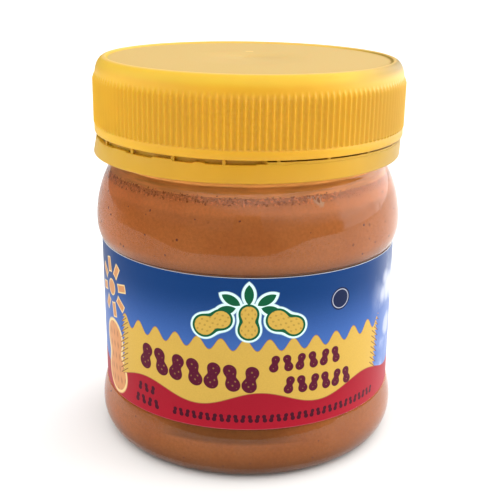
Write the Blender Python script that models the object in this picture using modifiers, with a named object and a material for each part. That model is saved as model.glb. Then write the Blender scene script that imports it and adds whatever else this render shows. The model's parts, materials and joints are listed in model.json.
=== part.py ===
"""A jar of peanut butter: a clear plastic jar, its filling, a wrap-round label and a ribbed screw lid.

Units are metres and +Z is up. The origin is the centre of the jar's foot and the label's front faces -Y.
"""

import math

import bmesh
import bpy
from mathutils import Matrix

# Jar, as outer radii and heights above the table
NECK_RADIUS = 0.0316
MOUTH_HEIGHT = 0.0870
NECK_BEAD_RADIUS = 0.0339
NECK_BEAD_BOTTOM = 0.0694
NECK_BEAD_TOP = 0.0716
NECK_BEAD_SLOPE = 0.0008
SHOULDER_RADIUS = 0.0361
SHOULDER_HEIGHT = 0.0525
SHOULDER_ARC = 0.0256
WAIST_ARC = 0.0099
HEEL_RADIUS = 0.03625
HEEL_HEIGHT = 0.0060
HEEL_ARC = 0.0180
FOOT_RADIUS = 0.0323
FOOT_RING_WIDTH = 0.0032
FOOT_PUSH_UP = 0.0024
WALL = 0.0010

# Label panel: the waist of the jar that the label wraps, between two small ledges
PANEL_RADIUS = 0.03455
PANEL_TOP = 0.04855
PANEL_BOTTOM = 0.01215
LEDGE_RADIUS = 0.0352
LABEL_TOP = 0.04795
LABEL_BOTTOM = 0.01253
LABEL_THICKNESS = 0.00025
LABEL_TOP_SLANT = math.radians(0.36)

# Filling, up to its level just under the lid's lower edge
FILL_HEIGHT = 0.0648
SWIRL_DEPTH = 0.0006
SWIRL_SHARES = (0.30, 0.62, 0.90)

# Space kept between neighbouring solids
GAP = 0.0003

# Lid: a cap over a tamper band, in one moulding
GRIP_RADIUS = 0.0360
GRIP_TOP = 0.0865
GRIP_BOTTOM = 0.0751
GRIP_TAPER = 0.00025
GRIP_SINK = 0.0006
RIB_COUNT = 160
RIB_DEPTH = 0.00050
RIB_WIDTH_SHARE = 0.55
CREST_HEIGHT = 0.0898
CREST_RADIUS = 0.0331
DISC_RADIUS = 0.0325
DISC_HEIGHT = 0.08935
CAP_SHOULDER_RADIUS = 0.03545
CAP_SHOULDER_FOOT = 0.0857
CAP_WALL = 0.0012
CAP_PLATE = 0.0017
CAP_INNER_CORNER = 0.0006
BEAD_RADIUS = 0.03585
BEAD_START = 0.0752
BEAD_FULL = 0.0749
CAP_LOWER_EDGE = 0.0730
CAP_EDGE_BEVEL = 0.0002
CAP_TILT = math.radians(0.45)

BAND_TOP = 0.0720
BAND_BOTTOM = 0.0682
BAND_RADIUS = 0.03575
BAND_TOP_RADIUS = 0.0355
BAND_WALL = 0.0012
BAND_TOP_BEVEL = 0.0002
BAND_FOOT_BEVEL = 0.0003
BAND_TILT = math.radians(0.10)
BAND_LEAN = 0.12
BRIDGE_COUNT = 20
BRIDGE_PHASE = math.radians(10.0)
BRIDGE_WIDTH = 0.0009
BRIDGE_DEPTH = 0.0007
BRIDGE_SINK = 0.0003
BRIDGE_OVERLAP = 0.0006

# Facets round the axis and along each curve of the outlines
TURNED_STEPS = 52
CAP_STEPS = 5
SHOULDER_STEPS = 6
WAIST_STEPS = 3
HEEL_STEPS = 3
FOOT_STEPS = 4
PUSH_UP_STEPS = 3
SHARP_ANGLE = math.radians(35)

# Display colours
PLASTIC_TINT = (235, 232, 225)
BUTTER_BROWN = (168, 102, 62)
LABEL_BLUE = (70, 100, 165)
LID_YELLOW = (228, 172, 52)


def clear_scene():
    for old in list(bpy.data.objects):
        bpy.data.objects.remove(old, do_unlink=True)


def new_collection(name):
    collection = bpy.data.collections.new(name)
    bpy.context.scene.collection.children.link(collection)
    return collection


def linear(red, green, blue):
    """An 8-bit display colour as linear light."""
    return tuple((level / 255) ** 2.2 for level in (red, green, blue)) + (1.0,)


def principled(name, colour, roughness, transmission=0.0, ior=1.5):
    material = bpy.data.materials.new(name)
    material.use_nodes = True
    shader = material.node_tree.nodes["Principled BSDF"]
    shader.inputs["Base Color"].default_value = colour
    shader.inputs["Roughness"].default_value = roughness
    shader.inputs["Transmission Weight"].default_value = transmission
    shader.inputs["IOR"].default_value = ior
    return material


def quarter(start, end, steep_first, steps):
    """Points along a quarter ellipse between two (radius, height) points, without the first one.

    steep_first says that it leaves the start along the axis, and otherwise it leaves square to the axis.
    """
    points = []
    for step in range(1, steps + 1):
        angle = math.pi / 2 * step / steps
        first, last = 1 - math.cos(angle), math.sin(angle)
        across, along = (first, last) if steep_first else (last, first)
        points.append((
            start[0] + (end[0] - start[0]) * across,
            start[1] + (end[1] - start[1]) * along,
        ))
    return points


def arc_down(centre, radius, from_radius, to_radius, steps):
    """Points down the outer side of an arc, between two distances from the jar's axis.

    The arc's widest point is level with its centre. A start wider than the end lies below the centre.
    """
    rising = from_radius < to_radius
    angles = [math.acos((wanted - centre[0]) / radius) for wanted in (from_radius, to_radius)]
    start, end = (angles[0], angles[1]) if rising else (-angles[0], -angles[1])
    return [
        (
            centre[0] + radius * math.cos(start + (end - start) * step / steps),
            centre[1] + radius * math.sin(start + (end - start) * step / steps),
        )
        for step in range(steps + 1)
    ]


def ease_up(start, rise, steps):
    """Points from a foot ring inwards and up to the axis, level at both ends, without the first one."""
    points = []
    for step in range(1, steps + 1):
        share = step / steps
        points.append((start[0] * (1 - share), start[1] + rise * share * share * (3 - 2 * share)))
    return points


def turned(name, profile, closed=False):
    """An object turned about Z from (radius, height) points that run down the outer side."""
    count = len(profile)
    edges = [(index, index + 1) for index in range(count - 1)]
    if closed:
        edges.append((count - 1, 0))
    mesh = bpy.data.meshes.new(name)
    mesh.from_pydata([(radius, 0.0, height) for radius, height in profile], edges, [])
    piece = bpy.data.objects.new(name, mesh)
    screw = piece.modifiers.new("Turn", "SCREW")
    screw.axis = "Z"
    screw.angle = math.tau
    screw.steps = TURNED_STEPS
    screw.render_steps = TURNED_STEPS
    screw.use_merge_vertices = True
    screw.merge_threshold = 0.00001
    return piece


def finish(piece, collection, material):
    """Puts a piece in its collection and gives it its material and smooth shading."""
    collection.objects.link(piece)
    bpy.context.view_layer.update()
    graph = bpy.context.evaluated_depsgraph_get()
    mesh = bpy.data.meshes.new_from_object(piece.evaluated_get(graph))
    mesh.name = piece.name
    piece.modifiers.clear()
    piece.data = mesh
    mesh.materials.clear()
    mesh.materials.append(material)
    mesh.shade_smooth()
    mesh.set_sharp_from_angle(angle=SHARP_ANGLE)
    return piece


def jar_side(depth, ledge_radius):
    """The jar's side at a depth inside its outer face, from the neck's foot to its underside's middle."""
    neck = NECK_RADIUS - depth
    waist = PANEL_RADIUS - depth
    shoulder = (SHOULDER_RADIUS - SHOULDER_ARC, SHOULDER_HEIGHT)
    under_shoulder = (SHOULDER_RADIUS - WAIST_ARC, SHOULDER_HEIGHT)
    heel = (HEEL_RADIUS - HEEL_ARC, HEEL_HEIGHT)
    widest, heel_widest = SHOULDER_RADIUS - depth, HEEL_RADIUS - depth
    side = arc_down(shoulder, SHOULDER_ARC - depth, neck, widest, SHOULDER_STEPS)
    side += arc_down(under_shoulder, WAIST_ARC - depth, widest, ledge_radius, WAIST_STEPS)[1:]
    if ledge_radius > waist:
        side += [(waist, PANEL_TOP), (waist, PANEL_BOTTOM)]
    side += arc_down(heel, HEEL_ARC - depth, ledge_radius, heel_widest, HEEL_STEPS)
    side += quarter(side[-1], (FOOT_RADIUS - depth / 2, depth), steep_first=True, steps=FOOT_STEPS)
    ring = (FOOT_RADIUS - FOOT_RING_WIDTH, depth)
    return side + [ring] + ease_up(ring, FOOT_PUSH_UP, PUSH_UP_STEPS)


def make_jar(collection, material):
    """The clear jar: one thin wall, open at the mouth, with the bead that holds the tamper band."""
    neck_inside = NECK_RADIUS - WALL
    neck = [
        (neck_inside, MOUTH_HEIGHT),
        (NECK_RADIUS, MOUTH_HEIGHT),
        (NECK_RADIUS, NECK_BEAD_TOP + NECK_BEAD_SLOPE),
        (NECK_BEAD_RADIUS, NECK_BEAD_TOP),
        (NECK_BEAD_RADIUS, NECK_BEAD_BOTTOM),
        (NECK_RADIUS, NECK_BEAD_BOTTOM - NECK_BEAD_SLOPE),
    ]
    inside = jar_side(WALL, PANEL_RADIUS - WALL)[::-1]
    return finish(turned("jar", inside + neck + jar_side(0.0, LEDGE_RADIUS)), collection, material)


def make_filling(collection, material):
    """The peanut butter: it fills the jar up to its level and stays clear of the wall."""
    depth = WALL + GAP
    side = jar_side(depth, PANEL_RADIUS - depth)
    below = [point for point in side if point[1] < FILL_HEIGHT]
    rise = math.asin((FILL_HEIGHT - SHOULDER_HEIGHT) / (SHOULDER_ARC - depth))
    edge = SHOULDER_RADIUS - SHOULDER_ARC + (SHOULDER_ARC - depth) * math.cos(rise)
    trough, ridge, rim = SWIRL_SHARES
    top = [
        (0.0, FILL_HEIGHT),
        (edge * trough, FILL_HEIGHT - SWIRL_DEPTH),
        (edge * ridge, FILL_HEIGHT),
        (edge * rim, FILL_HEIGHT - SWIRL_DEPTH),
        (edge, FILL_HEIGHT),
    ]
    return finish(turned("peanut_butter", top + below), collection, material)


def make_label(collection, material):
    """The label: a thin sleeve round the waist, put on a little askew so that its top edge slants."""
    inner = PANEL_RADIUS + GAP
    outer = inner + LABEL_THICKNESS
    section = [(outer, LABEL_TOP), (outer, LABEL_BOTTOM), (inner, LABEL_BOTTOM), (inner, LABEL_TOP)]
    label = finish(turned("label", section, closed=True), collection, material)
    for vertex in label.data.vertices:
        if vertex.co.z > LABEL_TOP - GAP:
            vertex.co.z -= vertex.co.x * math.tan(LABEL_TOP_SLANT)
    return label


def make_cap():
    """The cap: a raised rim round a sunk disc, a round shoulder, the skirt and a plain bead below."""
    skirt = CAP_SHOULDER_RADIUS - CAP_WALL
    plate_under = DISC_HEIGHT - CAP_PLATE
    outline = [(0.0, DISC_HEIGHT), (DISC_RADIUS, DISC_HEIGHT), (CREST_RADIUS, CREST_HEIGHT)]
    foot = (CAP_SHOULDER_RADIUS, CAP_SHOULDER_FOOT)
    outline += quarter(outline[-1], foot, steep_first=False, steps=CAP_STEPS)
    outline += [
        (CAP_SHOULDER_RADIUS, BEAD_START),
        (BEAD_RADIUS, BEAD_FULL),
        (BEAD_RADIUS, CAP_LOWER_EDGE + CAP_EDGE_BEVEL),
        (BEAD_RADIUS - CAP_EDGE_BEVEL, CAP_LOWER_EDGE),
        (skirt, CAP_LOWER_EDGE),
        (skirt, plate_under - CAP_INNER_CORNER),
        (skirt - CAP_INNER_CORNER, plate_under),
        (0.0, plate_under),
    ]
    return turned("lid", outline)


def make_grip():
    """The ribbed ring round the skirt: a star-shaped outline between two heights, with a slight taper."""
    pitch = math.tau / RIB_COUNT
    half_rib = pitch * RIB_WIDTH_SHARE / 2
    foot = GRIP_BOTTOM - GRIP_SINK
    rings = []
    for height, grip in ((GRIP_TOP, GRIP_RADIUS), (foot, GRIP_RADIUS - GRIP_TAPER)):
        ring = []
        for rib in range(RIB_COUNT):
            for turn, radius in ((-half_rib, grip - RIB_DEPTH), (0.0, grip), (half_rib, grip - RIB_DEPTH)):
                angle = rib * pitch + turn
                ring.append((radius * math.cos(angle), radius * math.sin(angle), height))
        rings.append(ring)
    around = len(rings[0])
    inner_radius = CAP_SHOULDER_RADIUS - CAP_WALL / 2
    angles = [step * math.tau / around for step in range(around)]
    inside = [(inner_radius * math.cos(angle), inner_radius * math.sin(angle)) for angle in angles]
    for height in (GRIP_TOP, foot):
        rings.append([(x, y, height) for x, y in inside])
    outer_top, outer_foot, inner_top, inner_foot = (index * around for index in range(4))
    faces = []
    for step in range(around):
        after = (step + 1) % around
        for upper, lower in (
            (outer_top, outer_foot),
            (inner_top, outer_top),
            (inner_foot, inner_top),
            (outer_foot, inner_foot),
        ):
            faces.append((upper + step, lower + step, lower + after, upper + after))
    mesh = bpy.data.meshes.new("grip")
    mesh.from_pydata([point for ring in rings for point in ring], [], faces)
    return bpy.data.objects.new("grip", mesh)


def make_band():
    """The tamper band: a plain ring that hangs under the cap and widens a little to its foot."""
    inner = BAND_RADIUS - BAND_WALL
    section = [
        (BAND_TOP_RADIUS - BAND_TOP_BEVEL, BAND_TOP),
        (BAND_TOP_RADIUS, BAND_TOP - BAND_TOP_BEVEL),
        (BAND_RADIUS, BAND_BOTTOM + BAND_FOOT_BEVEL),
        (BAND_RADIUS - BAND_FOOT_BEVEL, BAND_BOTTOM),
        (inner, BAND_BOTTOM),
        (inner, BAND_TOP),
    ]
    return turned("band", section, closed=True)


def make_bridge(index):
    """One of the small bridges that join the tamper band to the cap."""
    angle = BRIDGE_PHASE + index * math.tau / BRIDGE_COUNT - math.pi / 2
    height = CAP_LOWER_EDGE - BAND_TOP + 2 * BRIDGE_OVERLAP
    size = Matrix.Diagonal((BRIDGE_DEPTH, BRIDGE_WIDTH, height, 1.0))
    middle = BAND_RADIUS - BRIDGE_SINK - BRIDGE_DEPTH / 2
    place = Matrix.Translation((middle, 0.0, (CAP_LOWER_EDGE + BAND_TOP) / 2))
    cube = bmesh.new()
    bmesh.ops.create_cube(cube, size=1.0, matrix=Matrix.Rotation(angle, 4, "Z") @ place @ size)
    mesh = bpy.data.meshes.new(f"bridge_{index:02d}")
    cube.to_mesh(mesh)
    cube.free()
    return bpy.data.objects.new(mesh.name, mesh)


def tilted(angle, height):
    """A turn about the Y axis at a height on the jar's axis. A positive angle lowers the +X side."""
    centre = Matrix.Translation((0.0, 0.0, height))
    return centre @ Matrix.Rotation(angle, 4, "Y") @ centre.inverted()


def make_lid(collection, joined, material):
    """The lid: cap, ribs, band and bridges made one solid. Both sit askew, so the slit is a slight wedge."""
    cap = finish(make_cap(), collection, material)
    grip = finish(make_grip(), joined, material)
    band = finish(make_band(), joined, material)
    bridges = [finish(make_bridge(index), joined, material) for index in range(BRIDGE_COUNT)]
    askew = tilted(CAP_TILT, CAP_LOWER_EDGE)
    cap.data.transform(askew)
    grip.data.transform(askew)
    lean = Matrix.Identity(4)
    lean[0][2] = BAND_LEAN
    lean[0][3] = -BAND_LEAN * BAND_TOP
    band.data.transform(tilted(BAND_TILT, BAND_TOP) @ lean)
    for helper in [grip, band, *bridges]:
        helper.hide_render = True
        helper.display_type = "WIRE"
    union = cap.modifiers.new("Join", "BOOLEAN")
    union.operation = "UNION"
    union.solver = "EXACT"
    union.operand_type = "COLLECTION"
    union.collection = joined
    return cap


def main():
    clear_scene()
    jar_parts = new_collection("peanut_butter_jar")
    lid_pieces = new_collection("lid_pieces")
    lid_pieces.hide_render = True

    tint = linear(*PLASTIC_TINT)
    clear_plastic = principled("clear_plastic", tint, roughness=0.06, transmission=1.0, ior=1.57)
    peanut_butter = principled("peanut_butter", linear(*BUTTER_BROWN), roughness=0.45)
    printed_paper = principled("printed_label", linear(*LABEL_BLUE), roughness=0.40)
    yellow_plastic = principled("yellow_plastic", linear(*LID_YELLOW), roughness=0.38)

    make_jar(jar_parts, clear_plastic)
    make_filling(jar_parts, peanut_butter)
    make_label(jar_parts, printed_paper)
    make_lid(jar_parts, lid_pieces, yellow_plastic)


if __name__ == "__main__":
    main()
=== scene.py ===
"""A shut jar of peanut butter for a studio picture, modelled round its packed solids.

Units are metres and +Z is up. The jar stands at the origin and the label's front faces -Y.
"""

import json
import random
from math import acos, asin, atan2, cos, degrees, hypot, pi, radians, sin, sqrt, tan, tau

import bmesh
import bpy
from bpy.props import FloatProperty, FloatVectorProperty, IntProperty, PointerProperty
from bpy.types import Operator, Panel, PropertyGroup
from mathutils import Matrix, Vector

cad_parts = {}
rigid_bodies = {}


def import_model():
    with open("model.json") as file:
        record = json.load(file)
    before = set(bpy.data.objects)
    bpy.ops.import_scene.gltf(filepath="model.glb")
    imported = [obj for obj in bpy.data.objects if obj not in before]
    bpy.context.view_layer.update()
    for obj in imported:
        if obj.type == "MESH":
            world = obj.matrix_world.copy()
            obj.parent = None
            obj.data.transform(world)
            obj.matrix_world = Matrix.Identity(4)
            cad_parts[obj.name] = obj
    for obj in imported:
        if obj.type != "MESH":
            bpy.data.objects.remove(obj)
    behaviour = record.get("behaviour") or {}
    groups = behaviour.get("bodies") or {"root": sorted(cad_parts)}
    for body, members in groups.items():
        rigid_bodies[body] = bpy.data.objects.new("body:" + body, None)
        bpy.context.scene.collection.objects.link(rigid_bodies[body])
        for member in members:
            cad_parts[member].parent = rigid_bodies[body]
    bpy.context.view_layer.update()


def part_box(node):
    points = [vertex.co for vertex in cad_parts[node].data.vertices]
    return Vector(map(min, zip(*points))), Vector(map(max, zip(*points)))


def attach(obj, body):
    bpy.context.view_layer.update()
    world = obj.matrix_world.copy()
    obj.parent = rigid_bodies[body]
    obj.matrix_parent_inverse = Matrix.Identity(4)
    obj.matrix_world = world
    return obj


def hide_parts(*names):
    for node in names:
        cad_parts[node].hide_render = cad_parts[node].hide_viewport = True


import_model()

bl_info = {
    "name": "Peanut Butter Jar",
    "version": (1, 0, 0),
    "blender": (4, 5, 0),
    "location": "View3D > Sidebar > Jar",
    "description": "Models a shut jar of peanut butter piece by piece, with its studio",
    "category": "Add Mesh",
}

MM = 0.001

# Vertices nearer than this are merged, and turned surfaces have this many steps round the axis
MERGE = 0.000004
ROUND, BAND_ROUND, COARSE_ROUND = 224, 480, 96

# Hidden in the lid: the bead on the neck that holds the tamper band, and the mouth
BEAD_RADIUS, BEAD_FOOT, BEAD_HEAD = 0.0339, 0.0694, 0.0716
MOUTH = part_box("jar")[1].z

# Direction of the mould's parting line, from the front
PARTING_LINE = radians(56)

# How far the filling reaches into the wall, so that no air shows
REACH = 0.0001

# A pale dab at the right of the ring of bubbles, and a small pale mark on the lid's disc
DAB_BEARING, DAB_HEIGHT = radians(25.5), 0.0636
PALE_MARK_Y = 0.0125

# The tamper band: how much narrower its top is, its sideways shift for each height, its first bridge
BAND_FLARE, BAND_LEAN, FIRST_BRIDGE = 0.00025, 0.12, radians(10)

# The thin web in the slit: its outer radius, its thickness, its reach into the cap and the band, and the
# gap over it where it is torn, between two directions from the front
WEB_RADIUS, WEB_WALL, WEB_REACH, WEB_GAP = 0.0343, 0.0003, 0.0004, 0.00035
TORN_FROM, TORN_TO = radians(6), radians(82)

# Rows of pods: the row's start, its pitch, its pods, its height at the front, its rise and the pods' size
BANNER_ROWS = (
    (-26.4, 4.2, 7, 24.7, -0.075, 2.8),
    (4.6, 2.95, 6, 28.2, 0.0, 1.75),
    (8.0, 2.95, 6, 23.3, -0.04, 1.85),
)
FIELD_ROWS = (
    (-27.6, 2.0, 3, 18.0, -0.02, 0.95),
    (-28.6, 2.0, 4, 14.8, -0.02, 1.0),
    (-17.3, 1.58, 33, 15.2, 0.0, 0.85),
)

# How far each column of a rib's wedge stands out, as a share of the rib's height
RIB_RISE = (0.0, 0.0, 0.15, 0.78, 1.0, 0.78, 0.15, 0.0, 0.0)

# Smallest and largest radius of the scattered grains, and how flat they lie
BUBBLE_SIZES = (0.00010, 0.00031)
CRUMB_SIZES = (0.00012, 0.00034)
FLATNESS = 0.4

# The two dark cards that only reflections see: the (radius, height) ends of the lines that are turned
CLOTH_ENDS = [(0.0365, 0.0004), (3.9, 0.0004)]
FLAG_ENDS = [(0.19, 0.0), (0.19, 0.18)]

# The softbox and the point that it faces, and the floor
SOFTBOX_PLACE = Vector((0.12, -0.35, 0.60))
SOFTBOX_AIM = Vector((0.0, 0.0, 0.045))
SOFTBOX_WIDTH = 0.5
FLOOR_WIDTH = 8.0


def display(red, green, blue):
    """An 8-bit display colour as linear light."""
    return tuple((level / 255) ** 2.2 for level in (red, green, blue))


def length(name, description, millimetres):
    return FloatProperty(
        name=name, description=description, default=millimetres * MM, unit="LENGTH", precision=5
    )


def angle(name, description, turned):
    return FloatProperty(name=name, description=description, default=radians(turned), subtype="ANGLE")


def colour(name, description, *levels):
    return FloatVectorProperty(
        name=name, description=description, default=display(*levels), subtype="COLOR", min=0, max=1
    )


def count(name, description, default):
    return IntProperty(name=name, description=description, default=default, min=0)


def number(name, description, default, **unit):
    return FloatProperty(name=name, description=description, default=default, **unit)


class JarShape(PropertyGroup):
    """Outer radii and heights of the clear jar."""

    neck_radius: length("Neck Radius", "Outer radius of the neck under the lid", 31.6)
    shoulder_radius: length("Shoulder Radius", "Radius where the shoulder is widest", 36.1)
    shoulder_height: length("Shoulder Height", "Height where the shoulder is widest", 52.5)
    shoulder_arc: length("Shoulder Arc", "Radius of the dome's curve", 25.6)
    waist_arc: length("Waist Arc", "Radius of the curve from the shoulder in to the label", 9.9)
    heel_radius: length("Heel Radius", "Radius where the heel is widest", 36.25)
    heel_height: length("Heel Height", "Height where the heel is widest", 6.0)
    heel_arc: length("Heel Arc", "Radius of the curve from the label out to the heel", 18.0)
    foot_radius: length("Foot Radius", "Outer radius of the foot ring", 32.3)
    foot_ring: length("Foot Ring Width", "Width of the ring that the jar stands on", 3.2)
    push_up: length("Push-up", "Rise of the base inside the foot ring", 2.4)
    wall: length("Wall", "Thickness of the clear wall", 0.7)
    panel_radius: length("Panel Radius", "Radius of the waist behind the label", 34.85)
    panel_top: length("Panel Top", "Height of the ledge over the label", 48.55)
    panel_foot: length("Panel Foot", "Height of the ledge under the label", 12.15)
    ledge_radius: length("Ledge Radius", "Radius of the two small ledges", 35.2)
    plastic: colour("Plastic", "Tint of the clear plastic", 252, 250, 247)


class FillingLook(PropertyGroup):
    """The peanut butter and what is in it."""

    level: length("Level", "Height of the filling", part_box("peanut_butter")[1].z / MM)
    swirl: length("Swirl Depth", "Depth of the soft swirls on the top", 0.6)
    froth_foot: length("Froth Foot", "Lowest height of the ring of air bubbles", 62.9)
    smear_thickness: length("Smear Thickness", "Thickness of the smear over the filling", 0.5)
    smear_top: length("Smear Top", "Height that the smear reaches, behind the tamper band", 69.5)
    bubbles: count("Bubbles", "Air bubbles caught against the wall", 3200)
    crumbs: count("Crumbs", "Crumbs of nut skin against the wall", 120)
    butter: colour("Butter", "Colour of the peanut butter", 196, 120, 65)
    deep: colour("Deep Butter", "Colour of its darker patches", 187, 110, 56)
    # Painted light: the film's colour is the butter's made much lighter, where the lid shades it.
    film: colour("Film", "Colour of the thin smear above the filling", 255, 168, 86)
    skin: colour("Nut Skin", "Colour of the crumbs of nut skin", 116, 62, 38)
    cream: colour("Cream", "Colour of the pale dab", 214, 168, 130)
    seed: count("Seed", "Start of the random draws", 7)


class LabelPrint(PropertyGroup):
    """The printed sleeve: fields of colour and simple shapes."""

    radius: length("Radius", "Outer radius of the label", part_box("label")[1].x / MM)
    thickness: length("Thickness", "Thickness of the printed paper", 0.12)
    top: length("Top Edge", "Height of the top edge at the front", 47.95)
    foot: length("Lower Edge", "Height of the lower edge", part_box("label")[0].z / MM)
    slant: angle("Slant", "How far the top edge is askew", 0.36)
    sky_top: colour("Sky Top", "Blue at the label's top", 10, 55, 107)
    sky_foot: colour("Sky Foot", "Blue at the banner", 62, 97, 163)
    # Painted sheen: the haze is a pale sheen to both sides of the front.
    haze: colour("Haze", "Pale haze to both sides of the front", 203, 209, 225)
    banner: colour("Banner", "Yellow of the wavy banner", 191, 155, 71)
    field: colour("Field", "Red of the field under the banner", 151, 22, 40)
    kernel: colour("Kernel", "Dark colour of the kernels", 84, 21, 44)
    leaf: colour("Leaf", "Green of leaves and outlines", 12, 84, 54)
    nut: colour("Nut", "Tan of the nut shapes", 186, 128, 84)
    cream: colour("Cream", "Pale outline of the tan shapes", 216, 188, 130)
    navy: colour("Navy", "Dark blue of the roundel", 22, 34, 66)
    paper: colour("Paper", "White of the paper", 240, 240, 240)


class LidShape(PropertyGroup):
    """The screw cap and the tamper band under it."""

    grip_radius: length("Grip Radius", "Radius over the ribs", 36.0)
    groove_radius: length("Groove Radius", "Radius between the ribs", 35.45)
    grip_top: length("Grip Top", "Height where the ribs start", 85.8)
    grip_foot: length("Grip Foot", "Height where the ribs end", 75.1)
    ribs: count("Ribs", "Ribs round the cap", 160)
    crest: length("Crest", "Height of the rim round the disc", 89.8)
    crest_radius: length("Crest Radius", "Radius of the rim's top", 33.1)
    disc_radius: length("Disc Radius", "Radius of the sunk disc", 32.5)
    disc_height: length("Disc Height", "Height of the sunk disc", 89.35)
    bead_radius: length("Bead Radius", "Radius of the plain bead under the ribs", 35.85)
    lower_edge: length("Lower Edge", "Height of the cap's lower edge", 73.0)
    cap_wall: length("Cap Wall", "Thickness of the cap's skirt", 1.2)
    cap_plate: length("Cap Plate", "Thickness of the cap's top", 1.7)
    cap_tilt: angle("Cap Tilt", "How far the cap sits askew, right side low", 0.45)
    band_top: length("Band Top", "Height of the tamper band's upper edge", 72.0)
    band_foot: length("Band Foot", "Height of the tamper band's lower edge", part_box("lid")[0].z / MM)
    band_radius: length("Band Radius", "Radius of the tamper band", 35.75)
    band_tilt: angle("Band Tilt", "How far the band sits askew, right side low", 0.10)
    bridges: count("Bridges", "Bridges from the cap to the band", 20)
    yellow: colour("Yellow", "Colour of the lid's plastic", 206, 151, 34)
    # Painted light: lemon is a lighter yellow for the lit shoulder and the sides.
    lemon: colour("Lemon", "Its colour on the shoulder and at the sides", 206, 164, 37)
    # Painted sheen and reflection: a pale colour for the matt disc, the rim's highlight and the right side.
    pale_sheen: colour("Bloom", "Colour of the matt disc", 184, 153, 90)


class StudioSet(PropertyGroup):
    """Camera, lights and backdrop."""

    distance: length("Camera Distance", "Camera in front of the jar's axis", 216.8)
    height: length("Camera Height", "Camera above the floor", 113.7)
    pitch: angle("Pitch", "How far the camera looks down", 18.14)
    roll: angle("Roll", "How far the camera is askew", 0.47)
    lens: number("Lens", "Focal length", 66.84, unit="CAMERA")
    shift: number("Shift", "Sideways shift of the frame", 0.0048)
    floor: colour("Floor", "Colour of the floor", 227, 226, 224)
    top_light: number("Top Light", "Power of the softbox overhead", 0.4, unit="POWER")
    overhead: number("Overhead", "Strength of the surroundings straight up", 1.8)
    key: number("Key", "Strength of the surroundings high up behind the camera", 1.3)
    key_share: number("Key Share", "Share of the key that lights the jar, apart from reflections", 0.4)
    fill: number("Fill", "Extra strength at both sides, apart from reflections", 2.2)
    around: number("Around", "Strength of the surroundings at the left and the back", 0.8)
    right: number("Right", "How much stronger the surroundings are at the right", 2.4)
    dim: number("Dim", "Strength of the surroundings behind the camera", 0.08)


# Shader maths and nodes


def maths(operation, swapped=False, **settings):
    """A method that adds a Math node for a signal and for the values that the method is given."""

    def method(self, *others):
        values = (*others, self) if swapped else (self, *others)
        kind = {"operation": operation, **settings}
        return self.web.node("ShaderNodeMath", kind, dict(enumerate(values)))

    return method


class Signal:
    """A socket that gives one number, so that maths on it reads as plain Python."""

    __add__ = __radd__ = maths("ADD")
    __sub__ = maths("SUBTRACT")
    __rsub__ = maths("SUBTRACT", swapped=True)
    __mul__ = __rmul__ = maths("MULTIPLY")
    __pow__ = maths("POWER")
    __abs__ = maths("ABSOLUTE")
    arc_tangent = maths("ARCTAN2")
    floor = maths("FLOOR")
    least = maths("MINIMUM")
    least_softly = maths("SMOOTH_MIN")
    modulo = maths("FLOORED_MODULO")
    most = maths("MAXIMUM")
    over = maths("GREATER_THAN")
    taken_from = maths("SUBTRACT", swapped=True, use_clamp=True)
    wave = maths("COSINE")

    def __init__(self, web, socket):
        self.web = web
        self.socket = socket

    def __neg__(self):
        return self * -1.0

    def eased(self, start, end):
        """0 before start, 1 after end and a smooth way between."""
        settings = {"interpolation_type": "SMOOTHSTEP", "clamp": True}
        sockets = {"Value": self, "From Min": start, "From Max": end}
        return self.web.node("ShaderNodeMapRange", settings, sockets)

    def inside(self, softness=0.06):
        """1 where a distance is below zero and 0 above it, with a soft edge."""
        return (self * (1 / softness)).taken_from(0.5)


def far(p, q):
    """How far a point is from where both its numbers are zero."""
    return (p * p + q * q) ** 0.5


class Web:
    """A node web, of a material, of the world or of a scatter."""

    def __init__(self, tree):
        self.tree = tree

    def node(self, kind, settings, sockets, out=0):
        """Adds a node with its settings, then values or links for its sockets. Returns one of its outputs."""
        made = self.tree.nodes.new(kind)
        for name, value in settings.items():
            setattr(made, name, value)
        for name, value in sockets.items():
            if isinstance(value, Signal):
                self.tree.links.new(value.socket, made.inputs[name])
            else:
                made.inputs[name].default_value = value
        return Signal(self, made.outputs[out] if made.outputs else None)

    def place(self):
        """The place on the piece, in metres."""
        return self.node("ShaderNodeTexCoord", {}, {}, out="Object")

    def axes(self, vector):
        """The three numbers of a vector."""
        split = self.node("ShaderNodeSeparateXYZ", {}, {"Vector": vector}).socket.node
        return [Signal(self, output) for output in split.outputs]

    def bearing(self, x, y):
        """The direction round the axis, from the front, in radians."""
        return x.arc_tangent(-y)

    def noise(self, vector, scale, detail=2.0, roughness=0.5):
        sockets = {"Vector": vector, "Scale": scale, "Detail": detail, "Roughness": roughness}
        return self.node("ShaderNodeTexNoise", {}, sockets)

    def blend(self, factor, under, over, kind="MIX"):
        """Mixes two colours."""
        settings = {"data_type": "RGBA", "blend_type": kind}
        return self.node("ShaderNodeMix", settings, {0: factor, 6: under, 7: over}, out=2)

    def graded(self, factor, shade, start, end):
        """One colour, made lighter or darker by a start and an end value."""
        return self.blend(factor, ink(shade, start), ink(shade, end))

    def toned(self, tone, shade):
        """A colour made lighter or darker by a signal."""
        grey = self.node("ShaderNodeCombineColor", {}, {0: shade, 1: shade, 2: shade})
        return self.blend(1.0, tone, grey, "MULTIPLY")

    def bump(self, height, strength, distance):
        sockets = {"Height": height, "Strength": strength, "Distance": distance}
        return self.node("ShaderNodeBump", {}, sockets, out="Normal")


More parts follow.
